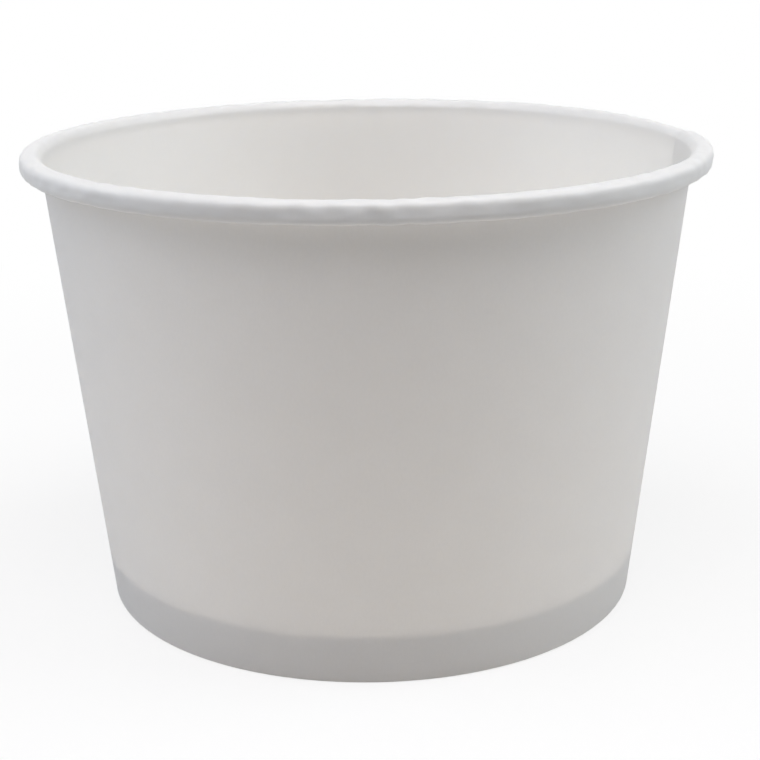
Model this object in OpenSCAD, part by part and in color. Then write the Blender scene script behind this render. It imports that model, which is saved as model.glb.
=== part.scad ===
// A round takeaway bowl of coated paper board. One fan-shaped board is wrapped into a cone, lapped
// and sealed down one side, rolled outwards at the top and folded in at the foot. The foot's fold
// grips the turned-down skirt of a round base board, which sits above the table.

/* [Bowl] */
// Diameter over the rolled rim
rim_d = 116; // [104:1:132]
// Height from the table to the top of the rim
height = 78.3; // [50:0.1:120]
// Diameter over the foot
foot_d = 92.5; // [80:0.5:104]

/* [Board] */
// Thickness of the sidewall board
wall_sheet = 0.4; // [0.3:0.05:0.45]
// Thickness of the base board
base_sheet = 0.4; // [0.3:0.05:0.6]
// Thickness of the sealing film between two boards
film = 0.03; // [0.01:0.01:0.06]

/* [Rolled rim] */
// Diameter of the roll
roll_d = 3.9; // [3.7:0.1:4.8]
// How far the board's edge goes on inside the roll after one full turn, in degrees
roll_tail = 80; // [20:10:120]
// Gap between the turns of the roll
roll_gap = 0.1; // [0.05:0.05:0.15]

/* [Side seam] */
// Width of the lap, in degrees round the bowl
seam_lap = 10; // [6:1:14]
// Where the lap's inner edge lies, in degrees from the +X axis
seam_at = 7; // [0:1:359]
// How far past the lap the board takes to settle back onto the round, in degrees
seam_settle = 40; // [20:5:60]

/* [Base] */
// Height of the base panel's underside above the table
base_rise = 8.5; // [5:0.5:12]
// Outer radius of the bend between the base panel and its skirt
base_bend = 1; // [0.7:0.1:1.6]
// Gap between the skirt's lower edge and the fold beneath it
skirt_gap = 0.4; // [0.1:0.1:1]
// Gap between the top of the folded foot and the base panel's underside
hem_gap = 1; // [0.8:0.1:2]

/* [Hidden] */

board_white = [0.93, 0.92, 0.90];
base_white = [0.92, 0.90, 0.87];

// Steps that draw the round stretches of a section, in degrees
bend_step = 15;
fold_step = 30;
// Steps that settle the seam, and how far each stretch runs on into the next, in degrees
settle_steps = 5;
seam_join = 1;

roll_r = roll_d / 2;
roll_centre = [rim_d / 2 - roll_r, height - roll_r];
// The tuck is where the roll tightens to pass inside its own first turn, in degrees from the wall
tuck_from = 250;
tuck_to = 350;

// The wall's food side rises from foot_start and just touches the roll's circle
foot_start = [foot_d / 2 - wall_sheet, 0];
foot_to_roll = roll_centre - foot_start;
lean = atan2(foot_to_roll[0], foot_to_roll[1]) - asin(roll_r / norm(foot_to_roll));
along = [sin(lean), cos(lean)];
outward = [cos(lean), -sin(lean)];

// Half the slot inside the fold, which holds the base board's skirt and its film
slot = base_sheet / 2 + film;
hem_top = base_rise - hem_gap;

function ease(u) = u <= 0 ? 0 : u >= 1 ? 1 : u * u * (3 - 2 * u);
function backwards(list) = [for (i = [len(list) - 1 : -1 : 0]) list[i]];
// The point of the line through start along the wall's lean that lies at height z
function at_height(start, z) = start + along * (z - start[1]) / along[1];

// Corners round a bend: straight sides touch a circle about centre at each of these angles
function corners(centre, radii, angles) = [
    for (i = [0 : len(angles) - 2])
        let (middle = (angles[i] + angles[i + 1]) / 2, half = abs(angles[i + 1] - angles[i]) / 2)
            centre + radii[i] / cos(half) * [cos(middle), sin(middle)]
];
function same(radius, angles) = [for (a = angles) radius];
// Angles from start to end in equal steps of no more than bend_step
function sweep(start, end) =
    let (steps = ceil(abs(end - start) / bend_step))
        [for (i = [0 : steps]) start + i * (end - start) / steps];

// One side of the sidewall's board, from the top of the folded foot, round the fold, up the wall
// and round the roll. It lies at distance d from the round that the food side follows. A board
// lifted off that round still stands on the table, and its roll's tail clears its first turn.
function board_side(d, lift) =
    let (
        far = lift + wall_sheet,
        fold_centre = at_height(foot_start - slot * outward, far + slot),
        fold_angles = [-180 - lean, for (a = [-150 : fold_step : -30]) a, -lean],
        roll_start = 180 - lean,
        roll_end = roll_start - 360 - roll_tail,
        roll_angles = sweep(roll_start, roll_end),
        tuck = wall_sheet + roll_gap,
        roll_radii = [
            for (a = roll_angles)
                roll_r - d - tuck * ease((roll_start - a - tuck_from) / (tuck_to - tuck_from))
        ],
        tail = roll_radii[len(roll_radii) - 1]
    )
    concat(
        [at_height(fold_centre - (slot + d) * outward, hem_top)],
        corners(fold_centre, same(slot + d, fold_angles), fold_angles),
        corners(roll_centre, roll_radii, roll_angles),
        [roll_centre + tail * [cos(roll_end), sin(roll_end)]]
    );

// A stretch of the board round the bowl, lifted off the round that the food side follows
module board_stretch(start, angle, lift) {
    rotate_extrude(start = start, angle = angle, $fn = 180)
        polygon(concat(board_side(lift + wall_sheet, lift), backwards(board_side(lift, lift))));
}

// The board goes once round, laps over its own first edge, where the film fuses the two, and
// eases back onto the round. Each stretch runs on into the next, so they are one board.
module sidewall() {
    lap_lift = wall_sheet - film;
    settle = seam_settle / settle_steps;
    color(board_white)
        union() {
            board_stretch(seam_at + seam_settle, 360 - seam_settle, 0);
            board_stretch(seam_at - seam_lap, seam_lap + seam_join, lap_lift);
            for (i = [0 : settle_steps - 1])
                board_stretch(
                    seam_at + i * settle,
                    settle + seam_join,
                    lap_lift * (1 - ease((i + 0.5) / settle_steps))
                );
        }
}

// The base board: a flat panel with its edge turned down inside the sidewall
module base_disc() {
    skirt_line = foot_start - film * outward;
    skirt_end = 2 * wall_sheet + skirt_gap;
    panel_top = base_rise + base_sheet;
    bend_centre = at_height(skirt_line - base_bend * outward, panel_top - base_bend);
    bend_angles = sweep(90, -lean);
    top_side = concat(
        [[0, panel_top]],
        corners(bend_centre, same(base_bend, bend_angles), bend_angles),
        [at_height(skirt_line, skirt_end)]
    );
    under_side = concat(
        [[0, base_rise]],
        corners(bend_centre, same(base_bend - base_sheet, bend_angles), bend_angles),
        [at_height(skirt_line - base_sheet * outward, skirt_end)]
    );
    color(base_white)
        rotate_extrude($fn = 180)
            polygon(concat(top_side, backwards(under_side)));
}

sidewall();
base_disc();
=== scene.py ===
import math

import bmesh
import bpy
from mathutils import Matrix, Vector, noise


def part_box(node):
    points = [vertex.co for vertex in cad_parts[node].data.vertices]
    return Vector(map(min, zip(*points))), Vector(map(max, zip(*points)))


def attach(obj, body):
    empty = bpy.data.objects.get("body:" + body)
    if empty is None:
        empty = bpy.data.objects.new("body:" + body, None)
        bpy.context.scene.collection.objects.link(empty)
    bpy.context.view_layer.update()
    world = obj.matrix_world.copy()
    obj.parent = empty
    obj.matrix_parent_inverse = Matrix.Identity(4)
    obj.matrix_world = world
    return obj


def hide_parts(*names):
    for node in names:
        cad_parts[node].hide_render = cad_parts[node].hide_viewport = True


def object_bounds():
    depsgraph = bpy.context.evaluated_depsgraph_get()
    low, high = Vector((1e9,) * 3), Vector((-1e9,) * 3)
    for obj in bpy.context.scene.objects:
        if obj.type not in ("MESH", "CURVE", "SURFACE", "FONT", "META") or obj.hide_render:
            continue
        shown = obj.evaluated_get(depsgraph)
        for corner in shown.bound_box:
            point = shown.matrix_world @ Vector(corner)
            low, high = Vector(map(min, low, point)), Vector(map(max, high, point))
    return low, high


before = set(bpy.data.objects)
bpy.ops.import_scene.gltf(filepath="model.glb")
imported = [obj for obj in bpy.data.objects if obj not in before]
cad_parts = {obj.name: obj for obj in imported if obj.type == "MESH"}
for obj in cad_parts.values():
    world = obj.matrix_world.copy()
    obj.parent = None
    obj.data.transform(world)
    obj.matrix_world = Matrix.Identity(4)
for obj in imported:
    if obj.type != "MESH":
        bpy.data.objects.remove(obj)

# The finished bowl
# Two boards of coated paper make the bowl: a wrapped sidewall and a pressed base. Both keep to the
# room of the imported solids, from which the height and the levels of the base are read.
cad_low, cad_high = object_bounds()
base_low, base_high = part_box("base_disc")

MM = 0.001
RIM_RADIUS = 58 * MM
HEIGHT = cad_high.z
FOOT_RADIUS = 46.25 * MM
PANEL_TOP = base_high.z
SHEET = 0.4 * MM
FILM = 0.03 * MM


# The paper board
# Both boards are cut from one stock: bleached fibre board, matt outside, with a thin film of clear
# polyethylene on the food side. The fibres lie in soft clouds and show as a very fine grain.
OUTSIDE = {
    "colour": (0.80, 0.79, 0.775),
    "roughness": 0.78,
    "clouds": 0.03,
    "grain": 0.03,
    "relief": 0.004 * MM,
}
# The food side's cream tone is the coat's own. Its greater lightness over the outside is painted light,
# which brightens the inside of the bowl.
FOOD_SIDE = {
    "colour": (0.935, 0.91, 0.87),
    "roughness": 0.5,
    "clouds": 0.02,
    "grain": 0.01,
    "relief": 0.002 * MM,
    "film": 0.25,
}
RAW_EDGE = {
    "colour": (0.72, 0.69, 0.64),
    "roughness": 0.9,
    "clouds": 0.05,
    "grain": 0.12,
    "relief": 0.02 * MM,
}
CLOUDS_A_METRE = 140.0
GRAINS_A_METRE = 2600.0
GRAIN_STRETCH = 0.45
LIGHT_THROUGH = 1.0
SOAK_DISTANCE = 0.95 * MM
SOAK_TINT = (1.0, 0.97, 0.92)
FILM_ROUGHNESS = 0.35


def new_socket(group, name, way, kind="NodeSocketFloat", value=None):
    socket = group.interface.new_socket(name=name, in_out=way, socket_type=kind)
    if value is not None:
        socket.default_value = value


def math_step(tree, kind, *values):
    """The result of one maths node. Each value is a number or another node's output."""
    step = tree.nodes.new("ShaderNodeMath")
    step.operation = kind
    for socket, value in zip(step.inputs, values):
        if isinstance(value, float):
            socket.default_value = value
        else:
            tree.links.new(value, socket)
    return step.outputs["Value"]


def board_map(tree):
    """A place on the flat board: round the bowl and up the board, in metres."""
    flat = tree.nodes.new("ShaderNodeUVMap")
    flat.uv_map = "board"
    return flat.outputs["UV"]


def make_fibre_group():
    """Clouds and grain of pressed paper fibre, read on the flat board's own map."""
    group = bpy.data.node_groups.new("paper_fibre", "ShaderNodeTree")
    new_socket(group, "Colour", "INPUT", "NodeSocketColor", (0.8, 0.8, 0.8, 1.0))
    new_socket(group, "Cloud Depth", "INPUT", value=0.02)
    new_socket(group, "Grain Depth", "INPUT", value=0.02)
    new_socket(group, "Roughness", "INPUT", value=0.7)
    new_socket(group, "Roughness Change", "INPUT", value=0.08)
    new_socket(group, "Colour", "OUTPUT", "NodeSocketColor")
    new_socket(group, "Roughness", "OUTPUT")
    new_socket(group, "Height", "OUTPUT")
    nodes, links = group.nodes, group.links
    given = nodes.new("NodeGroupInput").outputs
    made = nodes.new("NodeGroupOutput").inputs
    flat = board_map(group)

    def noise_at(scale, detail, stretch=1.0):
        lay = nodes.new("ShaderNodeMapping")
        lay.inputs["Scale"].default_value = (scale, scale * stretch, scale)
        links.new(flat, lay.inputs["Vector"])
        field = nodes.new("ShaderNodeTexNoise")
        field.noise_dimensions = "2D"
        field.inputs["Scale"].default_value = 1.0
        field.inputs["Detail"].default_value = detail
        links.new(lay.outputs["Vector"], field.inputs["Vector"])
        return field.outputs["Fac"]

    clouds = noise_at(CLOUDS_A_METRE, 3.0)
    grain = noise_at(GRAINS_A_METRE, 2.0, GRAIN_STRETCH)
    centred_clouds = math_step(group, "SUBTRACT", clouds, 0.5)
    centred_grain = math_step(group, "SUBTRACT", grain, 0.5)
    cloud_shade = math_step(group, "MULTIPLY", centred_clouds, given["Cloud Depth"])
    grain_shade = math_step(group, "MULTIPLY", centred_grain, given["Grain Depth"])
    shade = math_step(group, "ADD", cloud_shade, grain_shade)
    bright = nodes.new("ShaderNodeVectorMath")
    bright.operation = "SCALE"
    links.new(given["Colour"], bright.inputs[0])
    links.new(math_step(group, "ADD", shade, 1.0), bright.inputs["Scale"])
    links.new(bright.outputs["Vector"], made["Colour"])
    rough = math_step(group, "MULTIPLY", centred_grain, given["Roughness Change"])
    links.new(math_step(group, "ADD", rough, given["Roughness"]), made["Roughness"])
    high_clouds = math_step(group, "MULTIPLY", clouds, 2.0)
    links.new(math_step(group, "ADD", grain, high_clouds), made["Height"])
    return group


fibre_group = make_fibre_group()


def make_board_material(name, colour, roughness, clouds, grain, relief, film=0.0):
    """A finish of the board. relief is the grain's height in metres, and film the clear coat's weight."""
    material = bpy.data.materials.new(name)
    material.use_nodes = True
    nodes, links = material.node_tree.nodes, material.node_tree.links
    shader = nodes["Principled BSDF"]
    fibre = nodes.new("ShaderNodeGroup")
    fibre.node_tree = fibre_group
    fibre.inputs["Colour"].default_value = (*colour, 1.0)
    fibre.inputs["Cloud Depth"].default_value = clouds
    fibre.inputs["Grain Depth"].default_value = grain
    fibre.inputs["Roughness"].default_value = roughness
    bump = nodes.new("ShaderNodeBump")
    bump.inputs["Strength"].default_value = 1.0
    bump.inputs["Distance"].default_value = relief
    links.new(fibre.outputs["Colour"], shader.inputs["Base Color"])
    links.new(fibre.outputs["Roughness"], shader.inputs["Roughness"])
    links.new(fibre.outputs["Height"], bump.inputs["Height"])
    links.new(bump.outputs["Normal"], shader.inputs["Normal"])
    shader.inputs["Subsurface Weight"].default_value = LIGHT_THROUGH
    shader.inputs["Subsurface Radius"].default_value = SOAK_TINT
    shader.inputs["Subsurface Scale"].default_value = SOAK_DISTANCE
    shader.inputs["Coat Weight"].default_value = film
    shader.inputs["Coat Roughness"].default_value = FILM_ROUGHNESS
    return material


outside_board = make_board_material("outside_board", **OUTSIDE)
food_side_board = make_board_material("food_side_board", **FOOD_SIDE)
raw_edge_board = make_board_material("raw_edge_board", **RAW_EDGE)
BOARD_FINISHES = (food_side_board, outside_board, raw_edge_board)


def ease(share):
    """Goes from 0 to 1 with level ends."""
    share = min(max(share, 0.0), 1.0)
    return share * share * (3.0 - 2.0 * share)


def finish_board(skin, name, finishes, node):
    """Gives a single-skinned board its thickness behind the food side, its finishes and its place.

    finishes come in threes: in front, behind and at the cut edge."""
    mesh = bpy.data.meshes.new(name)
    skin.to_mesh(mesh)
    skin.free()
    for material in finishes:
        mesh.materials.append(material)
    mesh.polygons.foreach_set("use_smooth", [True] * len(mesh.polygons))
    board = bpy.data.objects.new(name, mesh)
    bpy.context.scene.collection.objects.link(board)
    thicken = board.modifiers.new("board_thickness", "SOLIDIFY")
    thicken.thickness = SHEET
    thicken.offset = -1.0
    thicken.use_even_offset = True
    thicken.material_offset = 1
    thicken.material_offset_rim = 2
    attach(board, "root")
    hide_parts(node)


# The sidewall
# One fan-shaped board, wrapped into a cone and heat-sealed down a lap that faces away to the right.
# Its top edge is curled outwards through a turn and a quarter into the rim, which puckers a little,
# and its lower edge is folded in and up round the base's skirt, then pressed with a knurled wheel.
ROLL_RADIUS = 1.95 * MM
ROLL_TAIL = math.radians(80)
ROLL_GAP = 0.1 * MM
TUCK_FROM, TUCK_TO = math.radians(250), math.radians(350)
SQUARENESS = 3.0
FLATTENED = 0.92
SQUARED_FROM, SQUARED_TO = math.radians(30), math.radians(290)
SQUARED_OVER = math.radians(60)
SLOT = SHEET / 2 + FILM
HEM_TOP = 7.5 * MM
ABOVE_TABLE = 0.01 * MM

SEAM_AT = math.radians(7)
LAP = math.radians(10)
SETTLE = math.radians(40)
MAKE_ROOM = math.radians(20)
LAP_LIFT = SHEET + FILM
WRAP = 2 * math.pi + LAP

KNURL_PITCH = 2.4 * MM
KNURL_DEPTH = 0.15 * MM
KNURL_FROM, KNURL_TO = 1.0 * MM, 5.8 * MM
KNURL_FADE = 0.5 * MM

COLUMNS = 540
HEM_STEPS, FOLD_STEPS, WALL_STEPS, ROLL_STEPS = 4, 12, 8, 62
PUCKER = 0.23 * MM
PUCKER_WIDTH = 2.6 * MM
PUCKER_LENGTH = 2.0 * MM
PUCKER_STARTS_OVER = math.radians(45)
PATCH_LENGTH = 30.0 * MM
PATCH_LEAST, PATCH_MIDDLE, PATCH_SWING = 0.2, 0.65, 0.7
STRONG_IN_FRONT = 11.5


def faded(tree, value, none_at, full_at):
    """Goes from 0 at none_at to 1 at full_at with level ends."""
    fade = tree.nodes.new("ShaderNodeMapRange")
    fade.interpolation_type = "SMOOTHSTEP"
    fade.inputs["From Min"].default_value = none_at
    fade.inputs["From Max"].default_value = full_at
    tree.links.new(value, fade.inputs["Value"])
    return fade.outputs["Result"]


def make_knurled_board():
    """The outside finish, with upright marks pressed in between two heights of the turned-up foot."""
    material = make_board_material("knurled_board", **OUTSIDE)
    tree = material.node_tree
    nodes, links = tree.nodes, tree.links
    place = nodes.new("ShaderNodeSeparateXYZ")
    links.new(board_map(tree), place.inputs["Vector"])
    around, up_board = place.outputs["X"], place.outputs["Y"]
    wave = math_step(tree, "SINE", math_step(tree, "MULTIPLY", around, 2 * math.pi / KNURL_PITCH))
    ridge = math_step(tree, "MULTIPLY_ADD", wave, 0.5, 0.5)
    above_start = faded(tree, up_board, KNURL_FROM, KNURL_FROM + KNURL_FADE)
    below_end = faded(tree, up_board, KNURL_TO, KNURL_TO - KNURL_FADE)
    marks = math_step(tree, "MULTIPLY", ridge, math_step(tree, "MULTIPLY", above_start, below_end))
    pressed = nodes.new("ShaderNodeBump")
    pressed.inputs["Distance"].default_value = KNURL_DEPTH
    links.new(marks, pressed.inputs["Height"])
    links.new(nodes["Bump"].outputs["Normal"], pressed.inputs["Normal"])
    links.new(pressed.outputs["Normal"], nodes["Principled BSDF"].inputs["Normal"])
    return material


HEM_FINISHES = (food_side_board, make_knurled_board(), raw_edge_board)


def wall_line():
    """The wall's food side where it leaves the table, the roll's centre, and the wall's directions."""
    start = Vector((FOOT_RADIUS - SHEET, 0.0))
    roll_centre = Vector((RIM_RADIUS - ROLL_RADIUS, HEIGHT - ROLL_RADIUS))
    across = roll_centre - start
    lean = math.atan2(across.x, across.y) - math.asin(ROLL_RADIUS / across.length)
    rise = Vector((math.sin(lean), math.cos(lean)))
    outward = Vector((math.cos(lean), -math.sin(lean)))
    return start, roll_centre, lean, rise, outward


WALL_START, ROLL_CENTRE, LEAN, RISE, OUTWARD = wall_line()


def at_height(start, height):
    """The point at a height on the line through start along the wall's lean."""
    return start + RISE * ((height - start.y) / RISE.y)


def direction(angle):
    return Vector((math.cos(angle), math.sin(angle)))


def squared(angle, turned):
    """The roll's reach against a round one: its top and front come nearly flat out of the curling tool."""
    corners = abs(math.cos(angle)) ** SQUARENESS + abs(math.sin(angle)) ** SQUARENESS
    share = ease((turned - SQUARED_FROM) / SQUARED_OVER) * ease((SQUARED_TO - turned) / SQUARED_OVER)
    return 1.0 + share * (FLATTENED * corners ** (-1.0 / SQUARENESS) - 1.0)


def board_section(room):
    """Points of the board's food side from the hem's top to the roll's tail, as (place, back, roll angle).

    back points from the food side to the outside. room is what a second board takes up at the lap."""
    far = SHEET + room + ABOVE_TABLE
    fold_centre = at_height(WALL_START - SLOT * OUTWARD, far + SLOT)
    hem_foot = fold_centre - SLOT * OUTWARD
    hem_top = at_height(hem_foot, HEM_TOP)
    points = [(hem_top.lerp(hem_foot, i / HEM_STEPS), -OUTWARD, 0.0) for i in range(HEM_STEPS)]
    for i in range(FOLD_STEPS + 1):
        back = direction(-math.pi - LEAN + math.pi * i / FOLD_STEPS)
        points.append((fold_centre + SLOT * back, back, 0.0))
    wall_foot = fold_centre + SLOT * direction(-LEAN)
    wall_top = ROLL_CENTRE + ROLL_RADIUS * direction(math.pi - LEAN)
    for i in range(1, WALL_STEPS):
        points.append((wall_foot.lerp(wall_top, i / WALL_STEPS), OUTWARD, 0.0))
    whole_roll = 2 * math.pi + ROLL_TAIL
    for i in range(ROLL_STEPS + 1):
        turned = whole_roll * i / ROLL_STEPS
        tuck = (SHEET + ROLL_GAP + room) * ease((turned - TUCK_FROM) / (TUCK_TO - TUCK_FROM))
        angle = math.pi - LEAN - turned
        reach = (ROLL_RADIUS - tuck) * squared(angle, turned)
        points.append((ROLL_CENTRE + reach * direction(angle), -direction(angle), turned))
    return points


def pucker(turn, turned):
    """How far the curled board is pressed in from its round: in patches, and from the roll's start on."""
    around = turn * RIM_RADIUS
    along = turned * ROLL_RADIUS
    dent = 0.5 + noise.noise(Vector((around / PUCKER_WIDTH, along / PUCKER_LENGTH, 0.0)))
    swing = noise.noise(Vector((around / PATCH_LENGTH, STRONG_IN_FRONT, 0.0)))
    patch = min(max(PATCH_MIDDLE + PATCH_SWING * swing, PATCH_LEAST), 1.0)
    return PUCKER * min(max(dent, 0.0), 1.0) * patch * ease(turned / PUCKER_STARTS_OVER)


def build_sidewall():
    """The blank is a flat grid, one side round the bowl and the other up the board, and is then wrapped."""
    stations = HEM_STEPS + FOLD_STEPS + WALL_STEPS + ROLL_STEPS + 1
    board = bmesh.new()
    flat = board.loops.layers.uv.new("board")
    bmesh.ops.create_grid(board, x_segments=COLUMNS, y_segments=stations - 1, size=0.5)
    places = {}
    columns = {}
    for corner in board.verts:
        column = round((corner.co.x + 0.5) * COLUMNS)
        station = round((corner.co.y + 0.5) * (stations - 1))
        columns.setdefault(column, []).append((station, corner))
    for column, corners in columns.items():
        turn = WRAP * column / COLUMNS
        lift = LAP_LIFT * ease((turn - WRAP + LAP + SETTLE) / SETTLE)
        room = max(lift, LAP_LIFT * ease(1 - (turn - LAP) / MAKE_ROOM))
        section = board_section(room)
        round_at = SEAM_AT - turn
        along = 0.0
        for station, corner in sorted(corners, key=lambda pair: pair[0]):
            place, back, turned = section[station]
            if station:
                along += (place - section[station - 1][0]).length
            radius, height = place + back * (lift + pucker(turn, turned))
            corner.co = (radius * math.cos(round_at), radius * math.sin(round_at), height)
            places[corner] = (turn * FOOT_RADIUS, along)
    for face in board.faces:
        for loop in face.loops:
            loop[flat].uv = places[loop.vert]
        if max(places[corner][1] for corner in face.verts) < HEM_TOP:
            face.material_index = len(BOARD_FINISHES)
    board.normal_update()
    return board


def face_food_side(board, on_board, towards):
    """Puts the food side in front, if the first face that is on_board looks away from towards."""
    face = next(f for f in board.faces if on_board(f.calc_center_median()))
    if face.normal.dot(towards(face.calc_center_median())) < 0:
        bmesh.ops.reverse_faces(board, faces=board.faces)


sidewall_board = build_sidewall()
face_food_side(
    sidewall_board,
    on_board=lambda middle: 0.3 * HEIGHT < middle.z < 0.6 * HEIGHT,
    towards=lambda middle: Vector((-middle.x, -middle.y, 0.0)),
)
sidewall_finishes = BOARD_FINISHES + HEM_FINISHES
finish_board(sidewall_board, "wrapped_sidewall", sidewall_finishes, "sidewall")


# The base
# A round board pressed so that its edge turns down into a skirt. The skirt is sealed between the
# sidewall and its folded foot, and the flat panel sits above the table.
PANEL_STEPS = 24
PANEL_SAG = 0.25 * MM
BEND_RADIUS = 1.0 * MM
BEND_STEPS = 8
SKIRT_STEPS = 4
SKIRT_END = base_low.z
BASE_TURNS = 200


def base_section():
    """Points of the base's food side from its middle to the skirt's lower edge, as (radius, height)."""
    skirt_line = WALL_START - FILM * OUTWARD
    bend_centre = at_height(skirt_line - BEND_RADIUS * OUTWARD, PANEL_TOP - BEND_RADIUS)
    points = []
    for i in range(PANEL_STEPS):
        share = i / PANEL_STEPS
        sag = PANEL_SAG * (1 - ease(share))
        points.append(Vector((bend_centre.x * share, PANEL_TOP - sag)))
    for i in range(BEND_STEPS + 1):
        angle = math.pi / 2 - (math.pi / 2 + LEAN) * i / BEND_STEPS
        points.append(bend_centre + BEND_RADIUS * direction(angle))
    skirt_top = points[-1]
    skirt_end = at_height(skirt_line, SKIRT_END)
    for i in range(1, SKIRT_STEPS + 1):
        points.append(skirt_top.lerp(skirt_end, i / SKIRT_STEPS))
    return points


def build_base():
    """The section spun once round the axis and closed on itself. Its map is the panel seen from above."""
    board = bmesh.new()
    line = [board.verts.new((p.x, 0.0, p.y)) for p in base_section()]
    edges = [board.edges.new(pair) for pair in zip(line, line[1:])]
    bmesh.ops.spin(
        board,
        geom=line + edges,
        cent=(0, 0, 0),
        axis=(0, 0, 1),
        angle=2 * math.pi,
        steps=BASE_TURNS,
        use_merge=True,
    )
    bmesh.ops.remove_doubles(board, verts=board.verts, dist=0.001 * MM)
    bmesh.ops.recalc_face_normals(board, faces=board.faces)
    flat = board.loops.layers.uv.new("board")
    for face in board.faces:
        for loop in face.loops:
            loop[flat].uv = loop.vert.co.xy
    return board


base_board = build_base()
face_food_side(
    base_board,
    on_board=lambda middle: middle.z > PANEL_TOP - SHEET,
    towards=lambda middle: Vector((0.0, 0.0, 1.0)),
)
finish_board(base_board, "pressed_base", BOARD_FINISHES, "base_disc")


# The floor
# A plain white sweep that carries the bowl's soft shadow and runs out of view on every side. Its colour
# for the light it throws back onto the bowl is painted lighter near the bowl, a painted pool of light, so
# farther off it throws back less light, and what is seen of it fades into plain white.
FLOOR_SIZE = 4.0
FLOOR_WHITE = (0.97, 0.97, 0.97)
# Painted pool of light: the floor's colour for the light it throws back is lighter near the bowl, darker
# farther off.
PAINTED_POOL_NEAR = (0.70, 0.67, 0.63)
PAINTED_POOL_FAR = (0.52, 0.515, 0.515)
SHADOW_SHARE = 0.25
NEAR, FAR = 0.06, 0.28


def looked_at_white(tree):
    """A value that is 1 for rays that look at the background, and 0 for rays that only carry light."""
    path = tree.nodes.new("ShaderNodeLightPath").outputs
    camera_or_gloss = math_step(tree, "MAXIMUM", path["Is Camera Ray"], path["Is Glossy Ray"])
    return math_step(tree, "MAXIMUM", camera_or_gloss, path["Is Transmission Ray"])


def mixed_colour(tree, factor, first, second):
    """A colour between first and second, each of which is a colour or a node's output."""
    blend = tree.nodes.new("ShaderNodeMix")
    blend.data_type = "RGBA"
    sockets = [socket for socket in blend.inputs if socket.type == "RGBA"]
    for socket, value in zip(sockets, (first, second)):
        if isinstance(value, tuple):
            socket.default_value = (*value, 1.0)
        else:
            tree.links.new(value, socket)
    tree.links.new(factor, blend.inputs["Factor"])
    return next(socket for socket in blend.outputs if socket.type == "RGBA")


def make_white_floor():
    """Matt and shaded near the bowl, and plain white farther off, for rays that look at it."""
    material = bpy.data.materials.new("white_floor")
    material.use_nodes = True
    tree = material.node_tree
    nodes, links = tree.nodes, tree.links
    matt = nodes["Principled BSDF"]
    white = nodes.new("ShaderNodeEmission")
    white.inputs["Strength"].default_value = 1.0
    distance = nodes.new("ShaderNodeVectorMath")
    distance.operation = "LENGTH"
    links.new(nodes.new("ShaderNodeTexCoord").outputs["Object"], distance.inputs[0])
    away = faded(tree, distance.outputs["Value"], NEAR, FAR)
    looked_at = looked_at_white(tree)
    # Painted pool of light: for rays that only carry light, the floor's colour is lighter near the bowl
    # than farther off.
    painted_pool_colour = mixed_colour(tree, away, PAINTED_POOL_NEAR, PAINTED_POOL_FAR)
    links.new(mixed_colour(tree, looked_at, painted_pool_colour, FLOOR_WHITE), matt.inputs["Base Color"])
    white_share = math_step(tree, "MULTIPLY_ADD", away, SHADOW_SHARE, 1.0 - SHADOW_SHARE)
    mix = nodes.new("ShaderNodeMixShader")
    links.new(math_step(tree, "MULTIPLY", looked_at, white_share), mix.inputs["Fac"])
    links.new(matt.outputs["BSDF"], mix.inputs[1])
    links.new(white.outputs["Emission"], mix.inputs[2])
    links.new(mix.outputs["Shader"], nodes["Material Output"].inputs["Surface"])
    return material


def build_floor():
    sweep = bmesh.new()
    bmesh.ops.create_grid(sweep, x_segments=1, y_segments=1, size=FLOOR_SIZE / 2)
    mesh = bpy.data.meshes.new("floor")
    sweep.to_mesh(mesh)
    sweep.free()
    mesh.materials.append(make_white_floor())
    floor = bpy.data.objects.new("floor", mesh)
    bpy.context.scene.collection.objects.link(floor)


build_floor()


# The light
# Large soft panels in a dark room: most of the light comes from above and from both sides, so the
# side towards the camera is lit by the floor, and through the board by the bright inside.
PANELS = {
    "above": {"at": (0.0, -0.18, 1.0), "size": 0.8, "watts": 5.0, "tint": (1.0, 0.985, 0.985)},
    "above_front": {"at": (0.0, -0.45, 0.9), "size": 0.5, "watts": 1.4, "tint": (1.0, 0.94, 0.93)},
    "front_left": {"at": (-0.45, -0.45, 0.75), "size": 0.5, "watts": 1.1, "tint": (0.97, 0.94, 1.0)},
    "left": {"at": (-0.75, 0.0, 0.7), "size": 0.6, "watts": 1.6, "tint": (0.97, 0.98, 1.0)},
    "right": {"at": (0.75, 0.0, 0.7), "size": 0.6, "watts": 2.7, "tint": (0.98, 0.99, 1.0)},
    "low_left": {"at": (-1.0, 0.0, 0.35), "size": 0.9, "watts": 2.0, "tint": (0.68, 0.82, 1.0)},
    "low_right": {"at": (1.0, 0.0, 0.35), "size": 0.9, "watts": 2.4, "tint": (0.83, 0.92, 1.0)},
}
AIM = Vector((0.0, 0.0, HEIGHT / 2))


def hang_panel(name, at, size, watts, tint):
    light = bpy.data.lights.new(name, "AREA")
    light.shape = "SQUARE"
    light.size = size
    light.energy = watts
    light.color = tint
    lamp = bpy.data.objects.new(name, light)
    lamp.location = at
    lamp.rotation_euler = (AIM - Vector(at)).to_track_quat("-Z", "Y").to_euler()
    bpy.context.scene.collection.objects.link(lamp)


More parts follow.
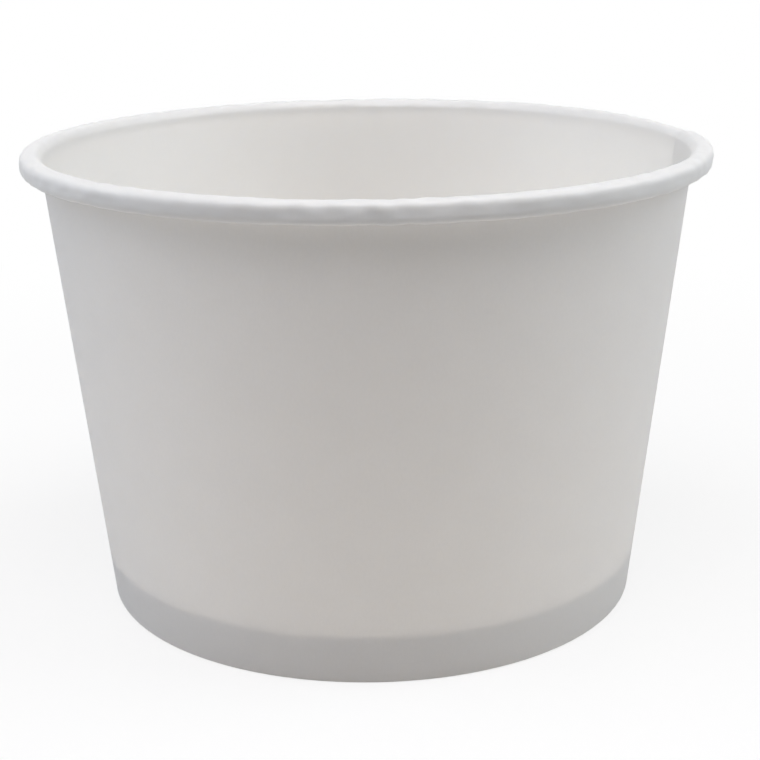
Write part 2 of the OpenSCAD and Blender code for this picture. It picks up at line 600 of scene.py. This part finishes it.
def darken_room():
    """The room gives no light of its own, and is plain white to rays that look at it."""
    world = bpy.data.worlds.new("pale_room")
    world.use_nodes = True
    bpy.context.scene.world = world
    nodes, links = world.node_tree.nodes, world.node_tree.links
    room = nodes["Background"]
    room.inputs["Strength"].default_value = 0.0
    white = nodes.new("ShaderNodeBackground")
    white.inputs["Color"].default_value = (1.0, 1.0, 1.0, 1.0)
    white.inputs["Strength"].default_value = 1.0
    mix = nodes.new("ShaderNodeMixShader")
    links.new(looked_at_white(world.node_tree), mix.inputs["Fac"])
    links.new(room.outputs["Background"], mix.inputs[1])
    links.new(white.outputs["Background"], mix.inputs[2])
    links.new(mix.outputs["Shader"], nodes["World Output"].inputs["Surface"])


darken_room()
for panel_name, panel in PANELS.items():
    hang_panel(panel_name, **panel)


# The camera
# It stands where the photograph was taken from, 28 cm from the bowl's middle, and looks down on the
# bowl by nearly 17 degrees. The photograph is 760 pixels square.
FRAME_PIXELS = 760
SENSOR = 36.0
FOCAL_PIXELS = 1606.2
DISTANCE = 283.7 * MM
STAND_ELEVATION = math.radians(16.15)
LOOK_DOWN = math.radians(16.86)
LOOK_RIGHT = math.radians(0.387)
TILT = math.radians(-0.607)


def set_camera():
    data = bpy.data.cameras.new("camera")
    data.sensor_width = SENSOR
    data.lens = FOCAL_PIXELS * SENSOR / FRAME_PIXELS
    data.clip_start = 0.01
    data.clip_end = 20.0
    camera = bpy.data.objects.new("camera", data)
    forward = Vector((
        math.sin(LOOK_RIGHT) * math.cos(LOOK_DOWN),
        math.cos(LOOK_RIGHT) * math.cos(LOOK_DOWN),
        -math.sin(LOOK_DOWN),
    ))
    level_right = forward.cross(Vector((0, 0, 1))).normalized()
    level_up = level_right.cross(forward)
    right = math.cos(TILT) * level_right + math.sin(TILT) * level_up
    up = right.cross(forward)
    place = Vector((
        0.0,
        -DISTANCE * math.cos(STAND_ELEVATION),
        HEIGHT / 2 + DISTANCE * math.sin(STAND_ELEVATION),
    ))
    turn = Matrix((right, up, -forward)).transposed().to_4x4()
    camera.matrix_world = Matrix.Translation(place) @ turn
    bpy.context.scene.collection.objects.link(camera)
    bpy.context.scene.camera = camera


set_camera()
bpy.context.scene.view_settings.view_transform = "Standard"
